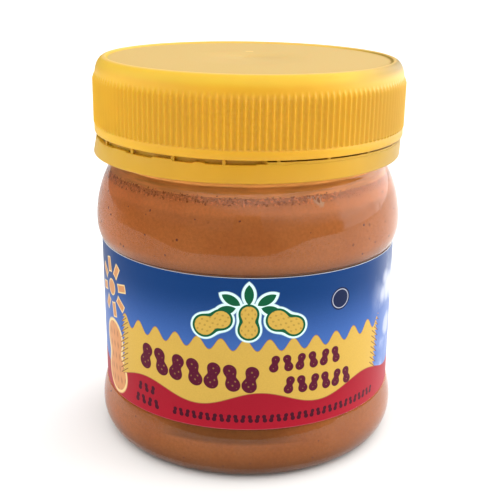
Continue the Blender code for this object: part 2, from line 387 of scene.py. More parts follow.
class Paint(Web):
    """The web of a new material. In its sockets' names here, an underscore stands for a space."""

    def __init__(self, name, **constants):
        self.material = bpy.data.materials.new(name)
        self.material.use_nodes = True
        super().__init__(self.material.node_tree)
        self.shader = self.tree.nodes["Principled BSDF"]
        for socket, value in constants.items():
            self.shader.inputs[socket.replace("_", " ")].default_value = value

    def feed(self, **signals):
        """Links signals to the shader's sockets and returns the finished material."""
        for socket, signal in signals.items():
            self.tree.links.new(signal.socket, self.shader.inputs[socket.replace("_", " ")])
        return self.material


def ink(shade, factor=1.0):
    """A colour for a socket, made lighter or darker."""
    return tuple(min(1.0, level * factor) for level in shade) + (1.0,)


# Modelling


def deselect():
    if bpy.context.mode != "OBJECT":
        bpy.ops.object.mode_set(mode="OBJECT")
    bpy.ops.object.select_all(action="DESELECT")


def only(piece):
    """Makes a piece the only selected object and the active one."""
    deselect()
    piece.select_set(True)
    bpy.context.view_layer.objects.active = piece


def named(name):
    """Names the object that an operator has just made."""
    piece = bpy.context.object
    piece.name = piece.data.name = name
    return piece


def add_vertex():
    """A new vertex at the origin, in edit mode and selected alone."""
    bpy.ops.mesh.select_all(action="DESELECT")
    bpy.ops.mesh.primitive_plane_add(size=MM)
    bpy.ops.mesh.merge(type="CENTER")


def begin(name):
    """A new piece with a single vertex at the origin, in edit mode and selected."""
    deselect()
    bpy.ops.mesh.primitive_plane_add(size=MM)
    piece = named(name)
    bpy.ops.object.mode_set(mode="EDIT")
    bpy.ops.mesh.select_all(action="SELECT")
    bpy.ops.mesh.merge(type="CENTER")
    return piece


def move(x, y, z):
    bpy.ops.transform.translate(value=(x, y, z))


def lower_right(tilt, height):
    """Turns what is selected about a point on the axis, so that its right side goes down."""
    bpy.ops.transform.rotate(value=-tilt, orient_axis="Y", center_override=(0.0, 0.0, height))


def spin(steps, turned):
    bpy.ops.mesh.spin(steps=steps, angle=turned, center=(0, 0, 0), axis=(0, 0, 1))


def draw(outline):
    """Moves the selected vertex to an outline's first (radius, height) point and extrudes it on."""
    here = outline[0]
    move(here[0], 0.0, here[1])
    for point in outline[1:]:
        step = (point[0] - here[0], 0.0, point[1] - here[1])
        bpy.ops.mesh.extrude_region_move(TRANSFORM_OT_translate={"value": step})
        here = point


def pick(test, kind="VERT"):
    """Selects in edit mode the vertices or edges for whose middle a test is true."""
    bpy.ops.mesh.select_mode(type=kind)
    bpy.ops.mesh.select_all(action="DESELECT")
    cage = bmesh.from_edit_mesh(bpy.context.object.data)
    for part in cage.verts if kind == "VERT" else cage.edges:
        middle = part.co if kind == "VERT" else (part.verts[0].co + part.verts[1].co) / 2
        if test(middle):
            part.select_set(True)
    bmesh.update_edit_mesh(bpy.context.object.data)


def close_up():
    """Merges what lies on the same place and turns all faces outwards."""
    bpy.ops.mesh.select_mode(type="VERT")
    bpy.ops.mesh.select_all(action="SELECT")
    bpy.ops.mesh.remove_doubles(threshold=MERGE)
    bpy.ops.mesh.normals_make_consistent(inside=False)


def turn(outline, steps):
    """Turns an outline of (radius, height) points about the jar's axis, still in edit mode."""
    draw(outline)
    bpy.ops.mesh.select_all(action="SELECT")
    spin(steps, tau)
    close_up()


def apply_modifier(piece, kind, **settings):
    """Adds a modifier in object mode and applies it at once."""
    only(piece)
    modifier = piece.modifiers.new(kind.title(), kind)
    for name, value in settings.items():
        setattr(modifier, name, value)
    bpy.ops.object.modifier_apply(modifier=modifier.name)


def repeat_round(piece, copies):
    """Repeats a piece round the axis and welds the copies."""
    deselect()
    bpy.ops.object.empty_add(rotation=(0.0, 0.0, tau / copies))
    step = bpy.context.object
    apply_modifier(
        piece, "ARRAY", fit_type="FIXED_COUNT", count=copies, use_relative_offset=False,
        use_object_offset=True, offset_object=step, use_merge_vertices=True,
        use_merge_vertices_cap=True, merge_threshold=MERGE,
    )
    bpy.data.objects.remove(step, do_unlink=True)


def done(piece, material, node=None, smooth=35.0):
    """Shades a piece, gives it its material and ties it to the body. Returns an operator's result."""
    only(piece)
    bpy.ops.object.transform_apply(location=True, rotation=True, scale=True)
    bpy.ops.object.shade_smooth_by_angle(angle=radians(smooth))
    piece.data.materials.clear()
    piece.data.materials.append(material)
    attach(piece, "root")
    if node:
        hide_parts(node)
    return {"FINISHED"}


def arc(centre, radius, start, end, steps):
    """Points along an arc between two angles."""
    angles = [start + (end - start) * step / steps for step in range(steps + 1)]
    return [(centre[0] + radius * cos(a), centre[1] + radius * sin(a)) for a in angles]


def arc_down(centre, radius, from_radius, to_radius, steps):
    """Points down the outer side of an arc, between two distances from the jar's axis."""
    shares = ((wanted - centre[0]) / radius for wanted in (from_radius, to_radius))
    start, end = (acos(min(1.0, share)) for share in shares)
    if from_radius > to_radius:
        start, end = -start, -end
    return arc(centre, radius, start, end, steps)


def quarter(start, end, steep_first, steps):
    """Points along a quarter ellipse between two (radius, height) points, without the first one."""
    points = []
    for step in range(1, steps + 1):
        a = pi / 2 * step / steps
        first, last = 1 - cos(a), sin(a)
        across, along = (first, last) if steep_first else (last, first)
        points.append((start[0] + (end[0] - start[0]) * across, start[1] + (end[1] - start[1]) * along))
    return points


def ease_up(start, rise, steps):
    """Points from the foot ring inwards and up to the axis, level at both ends, without the first one."""
    shares = [step / steps for step in range(1, steps + 1)]
    return [(start[0] * (1 - s), start[1] + rise * s * s * (3 - 2 * s)) for s in shares]


def jar_side(shape, depth, ledges=False):
    """The jar's side at a depth inside its outer face, from the neck's foot down and in to the axis."""
    waist = shape.panel_radius - depth
    ledge = shape.ledge_radius if ledges else waist
    shoulder = (shape.shoulder_radius - shape.shoulder_arc, shape.shoulder_height)
    under = (shape.shoulder_radius - shape.waist_arc, shape.shoulder_height)
    heel = (shape.heel_radius - shape.heel_arc, shape.heel_height)
    widest = shape.shoulder_radius - depth
    side = arc_down(shoulder, shape.shoulder_arc - depth, shape.neck_radius - depth, widest, 14)
    side += arc_down(under, shape.waist_arc - depth, widest, ledge, 8)[1:]
    if ledges:
        side += [(waist, shape.panel_top), (waist, shape.panel_foot)]
    side += arc_down(heel, shape.heel_arc - depth, ledge, shape.heel_radius - depth, 8)
    side += quarter(side[-1], (shape.foot_radius - depth / 2, depth), True, 8)
    ring = (shape.foot_radius - shape.foot_ring, depth)
    return side + [ring] + ease_up(ring, shape.push_up, 6)


def butter_dome(shape, low, high, steps):
    """Outline of the butter's shoulder between two heights, just inside the wall."""
    radius = shape.shoulder_arc - shape.wall + REACH
    centre = (shape.shoulder_radius - shape.shoulder_arc, shape.shoulder_height)
    start, end = (asin((height - centre[1]) / radius) for height in (high, low))
    return arc(centre, radius, start, end, steps)


# The jar and its filling


def clear_plastic(shape):
    """Blown clear plastic: slightly uneven, with the mould's parting line."""
    tint = ink(shape.plastic)
    paint = Paint("clear_plastic", Base_Color=tint, Roughness=0.05, IOR=1.40, Transmission_Weight=1.0)
    place = paint.place()
    bearing = paint.bearing(*paint.axes(place)[:2])
    seams = abs(bearing - PARTING_LINE).least(abs(bearing - (PARTING_LINE - pi)))
    relief = paint.noise(place, 55.0, 1.0) + (1 - seams.eased(0.0, 0.006)) * 0.10
    return paint.feed(Normal=paint.bump(relief, 0.25, 0.0006))


class JAR_OT_blow_wall(Operator):
    """Model the clear jar as one thin wall, open at the mouth"""

    bl_idname = "jar.blow_wall"
    bl_label = "Blow Clear Jar"

    def execute(self, context):
        shape = context.scene.jar_shape
        slope = 0.8 * MM
        neck = [
            (shape.neck_radius - shape.wall, MOUTH),
            (shape.neck_radius, MOUTH),
            (shape.neck_radius, BEAD_HEAD + slope),
            (BEAD_RADIUS, BEAD_HEAD),
            (BEAD_RADIUS, BEAD_FOOT),
            (shape.neck_radius, BEAD_FOOT - slope),
        ]
        piece = begin("jar_wall")
        turn(jar_side(shape, shape.wall)[::-1] + neck + jar_side(shape, 0.0, ledges=True), ROUND)
        return done(piece, clear_plastic(shape), "jar", smooth=50.0)


def peanut_butter(look, shape):
    """Smooth ground nuts: soft patches, a fine grain and specks of skin, with painted shade by the label and
    at the foot, painted light at the sides and a painted highlight under the ring of bubbles.
    """
    paint = Paint("peanut_butter", Specular_IOR_Level=0.12)
    place = paint.place()
    x, y, height = paint.axes(place)
    bearing = paint.bearing(x, y)
    patches = paint.noise(place, 60.0, 3.0).eased(0.38, 0.66)
    grain = paint.noise(place, 1500.0, 2.0, 0.7)
    # Painted shade: darker just above the ledge over the label, and in front just under the ledge below it.
    over_label = height.eased(shape.panel_top - 0.3 * MM, shape.panel_top + 3.0 * MM)
    sides = 1 - bearing.eased(-0.65, -0.38) * (1 - bearing.eased(0.1, 0.45))
    under_label = (1 - height.eased(shape.panel_foot - 3.6 * MM, shape.panel_foot - 2.6 * MM)).most(sides)
    low = 1 - height.over((shape.panel_top + shape.panel_foot) / 2)
    shade = over_label ** 0.7 * 0.39 + 0.58 + low * (under_label * 0.40 - 0.04)
    # Painted shade, darker towards the foot.
    shade *= height.eased(0.0, 8.0 * MM) * 0.58 + 0.42
    # Painted light: lighter at both sides, and most at the far left.
    across = x * (1 / shape.heel_radius)
    far_left = 1 - x.eased(-36.0 * MM, -22.0 * MM)
    shade *= across * across * 0.36 - across * 0.12 + 1 + far_left * 0.24
    # A painted highlight: a pale line just under the ring of bubbles.
    shade += (1 - abs(height - look.froth_foot + 0.9 * MM).eased(0.4 * MM, 2.0 * MM)) * 0.26
    tone = (grain.eased(0.25, 0.75) * 0.16 + 0.92) * shade
    base = paint.toned(paint.blend(patches, ink(look.butter), ink(look.deep)), tone)
    cell = {"Vector": place, "Scale": 260.0, "Randomness": 1.0}
    distance = paint.node("ShaderNodeTexVoronoi", {}, cell, out="Distance")
    lot = paint.axes(paint.node("ShaderNodeTexVoronoi", {}, cell, out="Color"))[0]
    speck = (1 - distance.eased(0.04, 0.12)) * lot.over(0.80)
    base = paint.blend(speck * 0.6, base, ink(look.skin))
    along, rise = (bearing - DAB_BEARING) * (shape.neck_radius / MM), (height - DAB_HEIGHT) * (1 / MM)
    dab = (along * along * 0.4 + rise * rise) ** 0.5 + (paint.noise(place, 700.0, 2.0) - 0.5) * 3.0
    base = paint.blend((dab - 1.1).inside(0.5) * 0.8, base, ink(look.cream))
    return paint.feed(Base_Color=base, Roughness=grain * 0.2 + 0.45)


class JAR_OT_pour_butter(Operator):
    """Model the peanut butter up to its level, just into the wall"""

    bl_idname = "jar.pour_butter"
    bl_label = "Pour Peanut Butter"

    def execute(self, context):
        shape, look = context.scene.jar_shape, context.scene.filling_look
        depth = shape.wall - REACH
        below = [point for point in jar_side(shape, depth) if point[1] < look.level - 0.4 * MM]
        edge = butter_dome(shape, look.level, look.level, 1)[0][0]
        rings, swirls = 22, 2.5
        top = []
        for ring in range(rings):
            dip = 0.5 - 0.5 * cos(tau * swirls * ring / rings)
            top.append((edge * ring / rings, look.level - look.swirl * dip))
        piece = begin("butter")
        turn(top + [(edge, look.level)] + below, ROUND)
        return done(piece, peanut_butter(look, shape), "peanut_butter", smooth=60.0)


def scatter_web(density, seed, sizes, grain):
    """Geometry nodes that put copies of a grain on a surface, at random sizes, flat against it."""
    tree = bpy.data.node_groups.new("scatter", "GeometryNodeTree")
    tree.interface.new_socket("Ground", in_out="INPUT", socket_type="NodeSocketGeometry")
    tree.interface.new_socket("Grains", in_out="OUTPUT", socket_type="NodeSocketGeometry")
    web = Web(tree)
    ground = web.node("NodeGroupInput", {}, {})
    sockets = {"Mesh": ground, "Density": density, "Seed": seed}
    points = web.node("GeometryNodeDistributePointsOnFaces", {}, sockets)
    normal = Signal(web, points.socket.node.outputs["Normal"])

    def draw_lot(low, high, offset):
        return web.node("FunctionNodeRandomValue", {}, {2: low, 3: high, "Seed": seed + offset}, out=1)

    size = draw_lot(*sizes, 1)
    sockets = {0: size, 1: size * draw_lot(0.6, 1.0, 2), 2: size * FLATNESS}
    scale = web.node("ShaderNodeCombineXYZ", {}, sockets)
    facing = web.node("FunctionNodeAlignRotationToVector", {"axis": "Z"}, {"Vector": normal})
    sockets = {"Axis": (0, 0, 1), "Angle": draw_lot(0.0, tau, 3)}
    own = web.node("FunctionNodeAxisAngleToRotation", {}, sockets)
    facing = web.node("FunctionNodeRotateRotation", {"rotation_space": "LOCAL"}, {0: facing, 1: own})
    body = web.node("GeometryNodeObjectInfo", {}, {"Object": grain}, out="Geometry")
    sockets = {"Points": points, "Instance": body, "Rotation": facing, "Scale": scale}
    copies = web.node("GeometryNodeInstanceOnPoints", {}, sockets)
    web.node("NodeGroupOutput", {}, {0: web.node("GeometryNodeRealizeInstances", {}, {0: copies})})
    return tree


def turned_area(outline):
    """Area of the surface that an outline makes when it is turned about the axis."""
    return sum(
        pi * (here[0] + there[0]) * hypot(there[0] - here[0], there[1] - here[1])
        for here, there in zip(outline, outline[1:])
    )


def lay_ground(name, outline, steps):
    """A grid bent round the axis along an outline, whose faces come in the same order in each run."""
    deselect()
    rows = len(outline) - 1
    bpy.ops.mesh.primitive_grid_add(x_subdivisions=steps, y_subdivisions=rows, size=1.0)
    ground = named(name)
    for vertex in ground.data.vertices:
        radius, height = outline[round((vertex.co.y + 0.5) * rows)]
        bearing = (vertex.co.x + 0.5) * tau
        vertex.co = (radius * cos(bearing), radius * sin(bearing), height)
    return ground


def scatter(name, outline, grains, seed, sizes, material):
    """Scatters small round grains over the surface that an outline makes, and makes them one piece."""
    deselect()
    bpy.ops.mesh.primitive_uv_sphere_add(segments=7, ring_count=5, radius=1.0)
    grain = named(name + "_grain")
    piece = lay_ground(name, outline, COARSE_ROUND)
    tree = scatter_web(grains / turned_area(outline), seed, sizes, grain)
    apply_modifier(piece, "NODES", node_group=tree)
    bpy.data.objects.remove(grain, do_unlink=True)
    bpy.data.node_groups.remove(tree)
    return done(piece, material, smooth=180.0)


def air_bubbles(look):
    """Air caught against the wall, wet: darker than the butter round it as painted shade, with pale painted
    glints, and paler at the right as painted light.
    """
    paint = Paint("air_bubbles", Specular_IOR_Level=0.1)
    place = paint.place()
    # Painted light: the bubbles turn paler towards the right.
    right = paint.bearing(*paint.axes(place)[:2]).eased(0.45, 0.9)
    mottle = paint.noise(place, 1400.0, 1.0).eased(0.36, 0.64).most(right * 0.7)
    # Dark painted shade for the air pockets, and pale painted glints.
    tone = paint.blend(mottle, ink(look.deep, 0.8), ink(look.butter, 1.55))
    return paint.feed(Base_Color=tone, Roughness=mottle * 0.25 + 0.25)


class JAR_OT_trap_bubbles(Operator):
    """Scatter the ring of air bubbles caught against the wall at the butter's level"""

    bl_idname = "jar.trap_bubbles"
    bl_label = "Trap Air Bubbles"

    def execute(self, context):
        shape, look = context.scene.jar_shape, context.scene.filling_look
        ring = butter_dome(shape, look.froth_foot, look.level, 4)
        return scatter("air_bubbles", ring, look.bubbles, look.seed, BUBBLE_SIZES, air_bubbles(look))


def butter_film(look):
    """The thin film of butter on the wall above the level, drawn out in faint level streaks, made lighter
    than the butter as painted light, with painted shadow under the tamper band.
    """
    paint = Paint("butter_film", Specular_IOR_Level=0.12)
    x, y, z = paint.axes(paint.place())
    stretched = paint.node("ShaderNodeCombineXYZ", {}, {0: x, 1: y, 2: z * 9.0})
    streaks = paint.noise(stretched, 130.0, 3.0, 0.6)
    film = paint.graded(streaks.eased(0.35, 0.65), look.film, 0.78, 1.0)
    # Painted shadow of the tamper band over the top of the film.
    under_band = z.eased(look.level + 2.0 * MM, look.level + 2.8 * MM)
    return paint.feed(Base_Color=paint.toned(film, 1 - under_band * 0.55), Roughness=streaks * 0.2 + 0.4)


class JAR_OT_smear_neck(Operator):
    """Model the thin smear that the filling has left on the wall, up into the lid"""

    bl_idname = "jar.smear_neck"
    bl_label = "Smear Neck"

    def execute(self, context):
        shape, look = context.scene.jar_shape, context.scene.filling_look
        inward = shape.neck_radius - shape.shoulder_radius + shape.shoulder_arc
        neck_foot = shape.shoulder_height + sqrt(shape.shoulder_arc ** 2 - inward ** 2)
        outer = butter_dome(shape, look.level - 0.5 * MM, neck_foot, 6)
        outer.append((shape.neck_radius - shape.wall + REACH, look.smear_top))
        inner = [(radius - look.smear_thickness, height) for radius, height in reversed(outer)]
        piece = begin("neck_smear")
        turn(outer + inner + outer[:1], ROUND)
        return done(piece, butter_film(look), smooth=60.0)


def nut_skin(look):
    """Crumbs of nut skin."""
    paint = Paint("nut_skin", Roughness=0.6)
    return paint.feed(Base_Color=paint.graded(paint.noise(paint.place(), 2500.0, 2.0), look.skin, 0.7, 1.5))


class JAR_OT_scatter_crumbs(Operator):
    """Scatter crumbs of nut skin over the butter, where the clear wall shows them"""

    bl_idname = "jar.scatter_crumbs"
    bl_label = "Scatter Nut Skin"

    def execute(self, context):
        shape, look = context.scene.jar_shape, context.scene.filling_look
        skin, share = nut_skin(look), look.crumbs // 2
        dome = butter_dome(shape, shape.panel_top, look.froth_foot, 6)
        scatter("crumbs_shoulder", dome, share, look.seed + 10, CRUMB_SIZES, skin)
        side = jar_side(shape, shape.wall - REACH)
        heel = [point for point in side if 2 * MM < point[1] < shape.panel_foot]
        return scatter("crumbs_heel", heel, share, look.seed + 20, CRUMB_SIZES, skin)


# The label


class Page(Paint):
    """The label laid flat, in millimetres along the arc from the front and up."""

    def __init__(self, look):
        super().__init__("printed_label", Specular_IOR_Level=0.12)
        self.look = look
        self.spot = self.place()
        x, y, z = self.axes(self.spot)
        self.along = self.bearing(x, y) * (look.radius / MM)
        self.up = z * (1 / MM)
        self.askew = x * (tan(look.slant) / MM)
        self.round = tau * look.radius / MM
        self.inked = None

    def lay(self, mask, shade, factor=1.0):
        """Prints a colour over what is there."""
        tone = shade if isinstance(shade, Signal) else ink(shade, factor)
        self.inked = self.blend(mask, self.inked, tone)

    def about(self, along, up, turned):
        """Coordinates about a point of the print, turned anticlockwise by degrees."""
        across, rise = self.along - along, self.up - up
        cosine, sine = cos(radians(turned)), sin(radians(turned))
        return across * cosine + rise * sine, rise * cosine - across * sine

    def circle(self, p, q, centre, radius):
        return far(p - centre, q) - radius

    def pod(self, p, q, size):
        """Distance to a nut pod: two round ends with a waist."""
        left = self.circle(p, q, -0.55 * size, 0.60 * size)
        return left.least_softly(self.circle(p, q, 0.60 * size, 0.54 * size), 0.8 * size)

    def leaf(self, p, q, size):
        """Distance to a pointed leaf."""
        bow = 0.9 * size
        return far(p, abs(q) + bow) - hypot(bow, size)

    def teeth(self, value):
        """Distance from the middle of each whole step of a value, 0 to 0.5."""
        return abs(value - value.floor() - 0.5)


def print_sky(page):
    """The blue, darkest at the top of the front, with a pale painted sheen to both sides, broken up into
    fleece, and a cloud at the right.
    """
    look, along, up = page.look, page.along, page.up
    blue = page.blend(up.eased(29.0, 45.0), ink(look.sky_foot), ink(look.sky_top))
    # Painted sheen: a pale haze to both sides of the front, broken up into fleece.
    side = along.eased(30.5, 46.0) * (1 - along.eased(62.0, 92.0) * 0.5)
    side += (1 - along.eased(-54.0, -34.0)) * 0.5
    fleece = page.noise(page.spot, 85.0, 4.0, 0.55)
    low = 1 - up.eased(34.0, 45.0)
    haze = side * 0.18 + side * fleece.eased(0.46, 0.66) * (low * 0.5 + 0.3)
    page.inked = page.blend(haze, blue, ink(look.haze))
    cloud = page.circle(along, up - 38.6, 42.4, 3.2)
    puffs = (38.9, 37.6, 1.9), (46.2, 37.9, 3.4), (40.4, 41.2, 1.8), (43.0, 28.6, 2.2)
    for across, rise, radius in puffs:
        cloud = cloud.least(page.circle(along, up - rise, across, radius))
    page.lay((cloud + (fleece - 0.5) * 5.0).inside(1.6) * 0.65, display(190, 193, 205))


def print_field(page):
    """The red field with its waved upper edge. Returns the distance over that edge."""
    over = page.up - ((page.along - 2.8) * (tau * 8 / page.round)).wave() * 1.6 - 19.9
    page.lay(over.inside(), page.graded(page.up.eased(12.0, 20.0), page.look.field, 1.06, 0.94))
    return over


def print_side_nut(page):
    """A large tan pod at the left end of the banner, and a burst of short tan bars over it."""
    look = page.look
    p, q = page.about(-37.4, 22.0, 97)
    pod = page.pod(p, q, 7.4)
    page.lay((pod - 0.7).inside(0.4), look.cream)
    ribs = ((q * 3.2 + (p * 1.1).wave() * 0.5).wave() * 0.5 + 0.5) * ((p * 2.2).wave() * 0.3 + 0.7)
    page.lay(pod.inside(), page.graded(ribs.eased(0.35, 0.95), look.nut, 1.08, 0.74))
    p, q = page.about(-38.4, 38.8, 12)
    reach, bars = far(p, q), 8
    sector = q.arc_tangent(p) * (bars / tau)
    askew = abs(sector - (sector + 0.5).floor()) * (tau / bars) * reach
    burst = (askew - 0.75).most(abs(reach - 5.4) - 1.5).least(reach - 1.7)
    page.lay((burst - 0.3).inside(0.15), look.cream)
    page.lay(burst.inside(), look.nut)


def print_banner(page, over):
    """The yellow banner: waved at its head, with frayed ends, down to the red field."""
    look, along, up = page.look, page.along, page.up
    head = (along * (tau * 42 / page.round) + 0.4).wave() * 1.35 + along * -0.012 + 32.6
    ends = abs(along + 0.4 - up * 0.06) - 33.4
    thread = page.teeth((up + ends * 0.7) * (1 / 1.3))
    sheet = (up - head).most(-over).most(ends - (0.5 - thread) * 3.0)
    page.lay((sheet - 0.16).inside(), display(150, 104, 62))
    page.lay(sheet.inside(), look.banner)
    stroke = (thread - 0.10).most(abs(ends - 0.3) - 1.6).most(up - head + 0.6).most(-over)
    page.lay(stroke.inside() * 0.8, look.kernel, 0.8)


def print_row(page, factor, start, pitch, pods, height, rise, size):
    """A row of dark pods, leaning by turns to both sides."""
    cell = ((page.along - start) * (1 / pitch)).floor()
    turn_about = cell.modulo(2.0) * 2 - 1
    across = page.along - start - (cell + 0.5) * pitch
    above = page.up - page.along * rise - height
    lean = radians(12)
    p = (above - across * turn_about * tan(lean)) * cos(lean)
    q = (across + above * turn_about * tan(lean)) * cos(lean)
    pod = page.pod(p, q, size)
    dimples = ((p * (10 / size)).wave() * (q * (11 / size) + 0.4).wave() - 0.72) * -1.0
    within = (abs(cell - (pods - 1) / 2) - pods / 2).inside()
    dimpled = 1 - dimples.inside(0.12) * (pod + 0.5).inside(0.2) * 0.3
    page.lay(pod.inside(0.08) * within * dimpled, page.look.kernel, factor)


def print_crest(page):
    """Three pods in a fan with leaves over them, yellow with a green outline and a pale halo."""
    look = page.look
    pods = []
    for along, up, lean, size in ((0.4, 38.0, 90, 3.2), (-7.4, 37.6, 24, 3.6), (8.4, 37.6, -24, 3.6)):
        p, q = page.about(along, up, lean)
        pods.append((page.pod(p, q, size), p, q))
    canopy = page.leaf(*page.about(-3.4, 43.0, 150), 2.3)
    for along, up, lean in ((4.2, 43.0, 30), (-4.6, 40.6, 195), (5.2, 40.6, -15), (0.4, 44.2, 90)):
        canopy = canopy.least(page.leaf(*page.about(along, up, lean), 2.3))
    whole = canopy + 0.35
    for pod, p, q in pods:
        whole = whole.least(pod)
    page.lay((whole - 0.92).inside(0.25), display(206, 240, 236))
    page.lay(canopy.inside(), look.leaf)
    for pod, p, q in pods:
        net = (q * 4.4 + (p * 1.6).wave() * 0.4).wave() * (p * 3.4).wave()
        page.lay((pod - 0.50).inside(), look.leaf)
        page.lay(pod.inside(), page.graded(net.eased(0.45, 0.85), look.banner, 1.02, 0.7))


def print_roundel(page):
    """A plain dark roundel with a thin pale ring, at the right of the crest."""
    disc = page.circle(page.along, page.up - 41.2, 21.6, 2.6)
    page.lay(disc.inside(), page.look.navy)
    page.lay((abs(disc + 0.45) - 0.10).inside() * 0.6, page.look.haze)


def print_back(page):
    """Two plain white panels with ruled bars at the back, and the paper's cut edge where its ends meet."""
    look = page.look
    bar = (page.teeth(page.up * (1 / 1.7)) * 1.7 - 0.22).inside(0.1)
    height = abs(page.up - 30.0)
    for middle in (-84.0, 84.0):
        across = abs(page.along - middle)
        panel = (across - 15.0).most(height - 11.0)
        page.lay((panel - 0.3).inside(), look.kernel)
        page.lay(panel.inside(), look.paper)
        page.lay(bar * (across - 13.0).inside() * (height - 9.4).inside() * 0.8, display(96, 100, 120))
    page.lay((page.round / 2 - 0.12 - abs(page.along)).inside(), look.paper)


def printed_label(look):
    """Gloss-coated paper, printed in flat inks with a fine grain, white at its cut top edge."""
    page = Page(look)
    print_sky(page)
    over = print_field(page)
    print_side_nut(page)
    print_banner(page, over)
    for row in BANNER_ROWS:
        print_row(page, 1.0, *row)
    for row in FIELD_ROWS:
        print_row(page, 0.6, *row)
    print_crest(page)
    print_roundel(page)
    print_back(page)
    page.lay((page.up + page.askew - (look.top / MM - 0.06)).eased(-0.03, 0.03) * 0.8, look.paper)
    page.lay((look.foot / MM + 0.14 - page.up).eased(-0.05, 0.05) * 0.25, display(226, 120, 130))
    grain = page.noise(page.spot, 3200.0, 2.0, 0.7)
    cockle = page.bump(page.noise(page.spot, 40.0, 2.0) + grain * 0.01, 0.25, 0.0008)
    tone = page.toned(page.inked, grain * 0.22 + 0.89)
    return page.feed(Base_Color=tone, Roughness=grain * 0.10 + 0.34, Normal=cockle)


class JAR_OT_wrap_label(Operator):
    """Model the printed sleeve, put on a little askew"""

    bl_idname = "jar.wrap_label"
    bl_label = "Wrap Label"

    def execute(self, context):
        look = context.scene.label_print
        outer, inner, rows = look.radius, look.radius - look.thickness, 12
        face = [(outer, look.top + (look.foot - look.top) * row / rows) for row in range(rows + 1)]
        piece = begin("label_sleeve")
        turn(face + [(inner, look.foot), (inner, look.top), (outer, look.top)], ROUND)
        pick(lambda at: at.z > look.top - MM / 2)
        lower_right(look.slant, look.top)
        return done(piece, printed_label(look), "label", smooth=40.0)


# The lid


def yellow_plastic(lid):
    """Moulded satin plastic, with painted light: lemon on the shoulder and sides, a pale painted highlight on
    the rim, a painted sheen at the right, painted shade on the band and at the far left, and a matt disc with
    a pale painted reflection.
    """
    constants = {"Specular_IOR_Level": 0.34, "Subsurface_Weight": 0.12, "Subsurface_Scale": 0.0015}
    paint = Paint("yellow_plastic", **constants)
    place = paint.place()
    x, y, z = paint.axes(place)
    radius = far(x, y)
    cloud = paint.noise(place, 90.0, 2.0).eased(0.3, 0.7)
    grain = paint.noise(place, 2600.0, 2.0, 0.6)
    # Painted light: lemon on the lit shoulder and at the sides.
    aside = x * x * (0.9 / lid.grip_radius ** 2)
    shoulder = z.eased(lid.grip_top + 0.9 * MM, lid.grip_top + 2.9 * MM)
    yellow = paint.blend(shoulder.most(aside), ink(lid.yellow), ink(lid.lemon))
    # Painted shade on the band under the cap, painted light at the sides of the cap, and painted shade at the
    # far left.
    cap = z.over(lid.lower_edge) * (aside * (1 - shoulder) * 0.16 + 0.14) + 0.86
    cap *= x.eased(-37.0 * MM, -26.0 * MM) * 0.1 + 0.9
    yellow = paint.toned(yellow, (cloud * 0.06 + 0.97) * cap)
    # Painted sheen at the right: less yellow there, and paler on the ribs.
    right_sheen = x.eased(18.0 * MM, 36.0 * MM)
    on_ribs = z.over(lid.grip_foot) * (1 - shoulder)
    yellow = paint.toned(yellow, 1 - right_sheen * (shoulder * 0.32 - on_ribs * 0.28 + 0.32))
    yellow = paint.blend(right_sheen * (on_ribs * 0.45 + 0.05), yellow, ink(lid.pale_sheen))
    # A pale painted highlight along the rim round the disc.
    rim = radius.eased(lid.disc_radius, lid.crest_radius - 0.2 * MM) * z.over(lid.disc_height)
    rim *= 1 - radius.eased(lid.crest_radius + 0.2 * MM, lid.crest_radius + 0.8 * MM)
    yellow = paint.blend(rim * 0.8, yellow, ink(lid.pale_sheen, 1.3))
    # The matt disc is given a pale painted reflection.
    on_disc = (1 - radius.eased(lid.disc_radius - 0.4 * MM, lid.disc_radius)) * z.over(lid.disc_height - MM)
    # A small pale mark on the disc, lighter still.
    pale_mark = (abs(x) - 0.9 * MM).most(abs(y - PALE_MARK_Y) - 0.45 * MM) * (1 / MM)
    pale_sheen = paint.graded((pale_mark + (cloud - 0.5) * 0.5).inside(0.3), lid.pale_sheen, 1.0, 1.5)
    return paint.feed(
        Base_Color=paint.blend(on_disc, yellow, pale_sheen),
        Roughness=on_disc * 0.16 + grain * 0.08 + 0.36,
        Normal=paint.bump(grain, 0.10, 0.00008),
    )


def cap_skin(lid):
    """Outline of the cap's outer skin, from the disc's edge over the crest and down to its lower lip."""
    rib_rows = 14
    under_crest = lid.grip_top - 0.1 * MM
    drop = under_crest - lid.grip_foot
    skin = [
        (lid.disc_radius, lid.disc_height),
        (lid.disc_radius + 0.15 * MM, lid.disc_height + 0.04 * MM),
        (lid.crest_radius - 0.2 * MM, lid.crest - 0.06 * MM),
        (lid.crest_radius, lid.crest),
    ]
    skin += quarter(skin[-1], (lid.groove_radius, under_crest), False, 12)
    skin += [(lid.groove_radius, under_crest - drop * row / rib_rows) for row in range(1, rib_rows)]
    skin += [
        (lid.groove_radius, lid.grip_foot + 0.10 * MM),
        (lid.bead_radius - 0.12 * MM, lid.grip_foot - 0.12 * MM),
        (lid.bead_radius, lid.grip_foot - 0.30 * MM),
        (lid.bead_radius, lid.lower_edge + 0.30 * MM),
        (lid.bead_radius - 0.10 * MM, lid.lower_edge + 0.07 * MM),
        (lid.bead_radius - 0.28 * MM, lid.lower_edge),
    ]
    return skin


def cap_disc(lid):
    """Outline of the disc from near its edge to the axis, with the moulding gate's small dimple."""
    gate = 1.3 * MM
    level, sunk = lid.disc_height, lid.disc_height - 0.10 * MM
    outline = [(radius, level) for radius in (lid.disc_radius - MM, lid.disc_radius / 2, gate + 0.2 * MM)]
    outline += [(gate, sunk), (gate * 0.45, sunk)]
    return outline + [(gate * 0.3, level - 0.02 * MM), (0.0, level - 0.02 * MM)]


